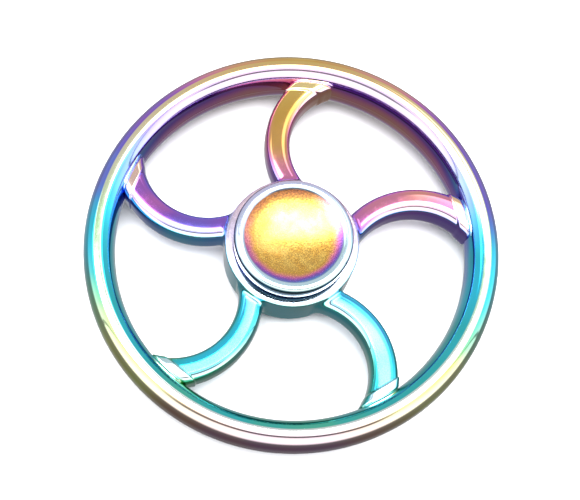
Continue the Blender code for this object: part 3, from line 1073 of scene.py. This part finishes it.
def lapped_steel():
    """Balls: nearly mirror-bright, with a slight haze."""
    g, where = material_graph("ball_steel")
    haze = g.noise(where["Object"], 2600.0, 3.0, 0.6)
    tint = g.mix(haze, srgb(205, 207, 212), srgb(176, 179, 186))
    normal = g.bump(haze, 0.03, 0.00001)
    rough = g.add(0.03, g.times(haze, 0.05))
    return g.finish(Base_Color=tint, Metallic=1.0, Roughness=rough, Normal=normal)


def cage_brass():
    """Stamped brass, unevenly tarnished."""
    g, where = material_graph("cage_brass")
    stain = g.noise(where["Object"], 1800.0, 4.0, 0.65)
    tint = g.mix(stain, srgb(206, 170, 92), srgb(140, 104, 52))
    marks = g.noise(where["Object"], 9000.0, 3.0, 0.7)
    rough = g.add(0.25, g.times(stain, 0.2))
    normal = g.bump(marks, 0.2, 0.00002)
    return g.finish(Base_Color=tint, Metallic=1.0, Roughness=rough, Normal=normal)


def floor_material():
    g, where = material_graph("pale_floor")
    tint = g.mix(g.noise(where["Object"], 18.0, 3.0, 0.5), srgb(232, 232, 234), srgb(226, 226, 229))
    return g.finish(Base_Color=tint, Roughness=0.7)


# ---------------------------------------------------------------- stage


FLOOR_SIZE = 2.0
LAMP_PLACE = (0.0, 0.02, 0.42)
LAMP_SIZE = 0.42
LAMP_POWER = 7.5

# Levels of the room: as it lights things, and as polished metal sees its parts.
ROOM_LEVEL = 0.55
SKY_FRONT = 2.1
SKY_BACK = 0.85
BELOW = 0.26
LAMP_GLOW = 9.0
FLANK_GLOW = 2.8
VIEWER_SHADE = 0.85
POST_SHADE = 0.25


def make_stage():
    mesh = bpy.data.meshes.new("floor")
    size = FLOOR_SIZE
    level = CAD_BOUNDS[0].z
    corners = [(-size, -size, level), (size, -size, level), (size, size, level), (-size, size, level)]
    mesh.from_pydata(corners, [], [(0, 1, 2, 3)])
    floor = link("floor", mesh)
    floor.visible_glossy = False
    mesh.materials.append(floor_material())
    make_world()
    soft_lamp("soft_overhead", LAMP_PLACE, LAMP_SIZE, LAMP_POWER)


def make_world():
    """A pale room. Polished metal sees a bright window wall in front, a lamp overhead with
    two dimmer panels beside it, a calmer wall behind, the viewer's shape, one dark post and
    a dark tray below. Places overhead are given as (x, y) on a plane one unit up."""
    world = bpy.data.worlds.new("studio")
    bpy.context.scene.world = world
    g = Graph(world)
    d = g.parts(g.node("ShaderNodeTexCoord").outputs["Generated"])
    up = g.math("MAXIMUM", d[2], 0.02)
    x = g.math("DIVIDE", d[0], up)
    y = g.math("DIVIDE", d[1], up)

    wide = g.math("ABSOLUTE", g.add(x, 0.15))
    lamp = g.times(g.fall(wide, 0.48, 0.70), g.fall(y, 0.28, 0.42), g.smooth(y, -0.12, 0.0))
    flanks = g.times(g.smooth(wide, 0.34, 0.46), g.fall(wide, 0.85, 1.15))
    flanks = g.times(flanks, g.smooth(y, -0.05, 0.10), g.fall(y, 0.60, 0.85))
    viewer = g.fall(g.math("ABSOLUTE", x), 0.55, 0.75)
    viewer = g.times(viewer, g.smooth(y, -0.72, -0.62), g.fall(y, -0.40, -0.30), VIEWER_SHADE)
    beside_post = g.math("ABSOLUTE", g.math("SUBTRACT", d[1], -0.10))
    post = g.smooth(beside_post, 0.012, 0.022, POST_SHADE, 1.0)

    sky = g.smooth(d[1], 0.02, 0.50, SKY_FRONT, SKY_BACK)
    sky = g.times(sky, g.math("SUBTRACT", 1.0, viewer), post)
    sky = g.add(sky, g.times(lamp, LAMP_GLOW))
    sky = g.math("MAXIMUM", sky, g.times(flanks, FLANK_GLOW))
    below = g.smooth(d[1], -0.3, 0.6, BELOW, 2.0 * BELOW)
    seen = g.blend(g.smooth(d[2], -0.22, 0.05), below, sky)

    glossy = g.node("ShaderNodeLightPath").outputs["Is Glossy Ray"]
    background = g.tree.nodes["Background"]
    g.set(background.inputs["Strength"], g.blend(glossy, ROOM_LEVEL, seen))
    g.set(background.inputs["Color"], (0.97, 0.98, 1.0, 1.0))


def soft_lamp(name, place, size, power):
    """A large square lamp aimed at the object. It lights the floor but is not reflected."""
    data = bpy.data.lights.new(name, "AREA")
    data.shape = "SQUARE"
    data.size = size
    data.energy = power
    lamp = bpy.data.objects.new(name, data)
    bpy.context.scene.collection.objects.link(lamp)
    lamp.location = place
    lamp.rotation_euler = Vector(place).to_track_quat("Z", "Y").to_euler()
    lamp.visible_glossy = False


# The camera is 150 mm away and 22.5 degrees from the spin axis. Its film is nearly parallel
# to the wheel, as in a view camera, which the shear in its parent inverse gives.
CAMERA_DISTANCE = 0.150
CAMERA_TILT_DEG = 22.5
CAMERA_FOOT = (-0.27, -0.963)
FILM_TILT_DEG = 11.0
CAMERA_LENS = 62.0


def make_camera():
    tilt = math.radians(CAMERA_TILT_DEG)
    foot = Vector(CAMERA_FOOT) * math.sin(tilt)
    back = Vector((foot.x, foot.y, math.cos(tilt))).normalized()
    film = math.radians(FILM_TILT_DEG)
    right = Vector((1.0, 0.0, 0.0))
    up = Vector((0.0, math.cos(film), math.sin(film)))
    sheared = Matrix((right, up, back)).transposed().to_4x4()
    sheared.translation = back * CAMERA_DISTANCE
    stand = bpy.data.objects.new("camera_stand", None)
    bpy.context.scene.collection.objects.link(stand)
    data = bpy.data.cameras.new("camera")
    data.lens = CAMERA_LENS
    data.clip_start = 0.005
    camera = bpy.data.objects.new("camera", data)
    bpy.context.scene.collection.objects.link(camera)
    camera.parent = stand
    camera.matrix_parent_inverse = sheared
    bpy.context.scene.camera = camera


# ---------------------------------------------------------------- assembly


def place(piece, node, slot, material):
    """Give a piece its material and put it on its node's body, in the node's stead."""
    piece.data.materials.clear()
    piece.data.materials.append(material)
    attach(piece, frame["nodes"][node]["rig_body"])
    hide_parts(node)


def build():
    rainbow = rainbow_metal()
    cap_finish = cap_metal()
    ground = turned_steel("bearing_steel", (196, 198, 202), 0.16, 9000.0)
    pressed = turned_steel("shield_steel", (178, 181, 186), 0.26, 6000.0)
    spring = turned_steel("spring_steel", (150, 153, 160), 0.30, 7000.0)
    place(make_wheel(), "wheel", "rainbow_coating", rainbow)
    upper, lower = make_caps()
    place(upper, "finger_cap_top", "cap_coating", cap_finish)
    place(lower, "finger_cap_bottom", "cap_coating", cap_finish)
    outer, inner = make_races()
    place(outer, "bearing_outer_race", "bearing_steel", ground)
    place(inner, "bearing_inner_race", "bearing_steel", ground)
    lapped = lapped_steel()
    for number in range(1, BALLS + 1):
        place(make_ball(number), "ball_%02d" % number, "ball_steel", lapped)
    place(make_cage(), "ball_cage", "cage_brass", cage_brass())
    for label, side in (("top", 1.0), ("bottom", -1.0)):
        shield = make_shield("shield_disc_" + label, side)
        place(shield, "shield_" + label, "shield_steel", pressed)
        ring = make_snap_ring("snap_ring_" + label, side)
        place(ring, "shield_snap_ring_" + label, "spring_steel", spring)
    make_stage()
    make_camera()
    bpy.context.scene.view_settings.view_transform = "Standard"


build()
